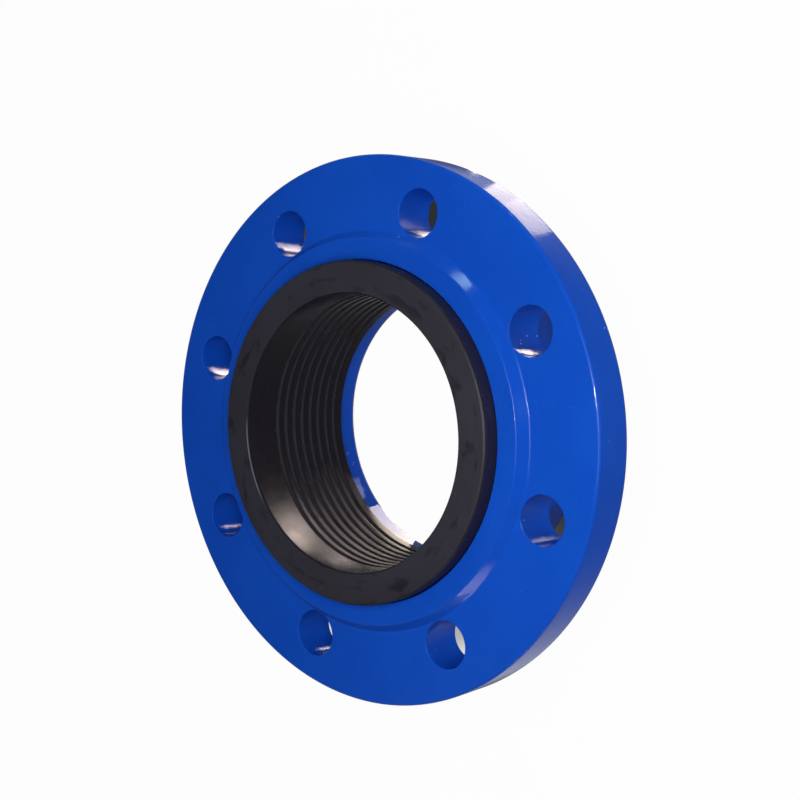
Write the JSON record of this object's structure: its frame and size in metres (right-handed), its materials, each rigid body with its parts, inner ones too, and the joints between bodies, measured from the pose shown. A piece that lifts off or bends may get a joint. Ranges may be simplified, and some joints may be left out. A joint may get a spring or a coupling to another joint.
{
  "type": "flanged expansion joint",
  "caption": "Round flange adaptor for a plain-end pipe: a drilled cast flange with a raised face and a rubber gasket sleeve with a ribbed bore.",
  "frame": {"origin": "centre of the bounding box's bottom, on the pipe axis in the plane of the hub's rear end", "axes": "+Z along the pipe axis, out of the sealing face; the bolt holes straddle the X and Y axes"},
  "size_m": [0.22, 0.22, 0.07],
  "materials": {
    "blue_paint": "gloss blue coating on cast iron",
    "black_rubber": "moulded black rubber, satin"
  },
  "bodies": {
    "root": {"flange_body": "blue_paint", "rubber_gasket": "black_rubber"}
  },
  "joints": []
}
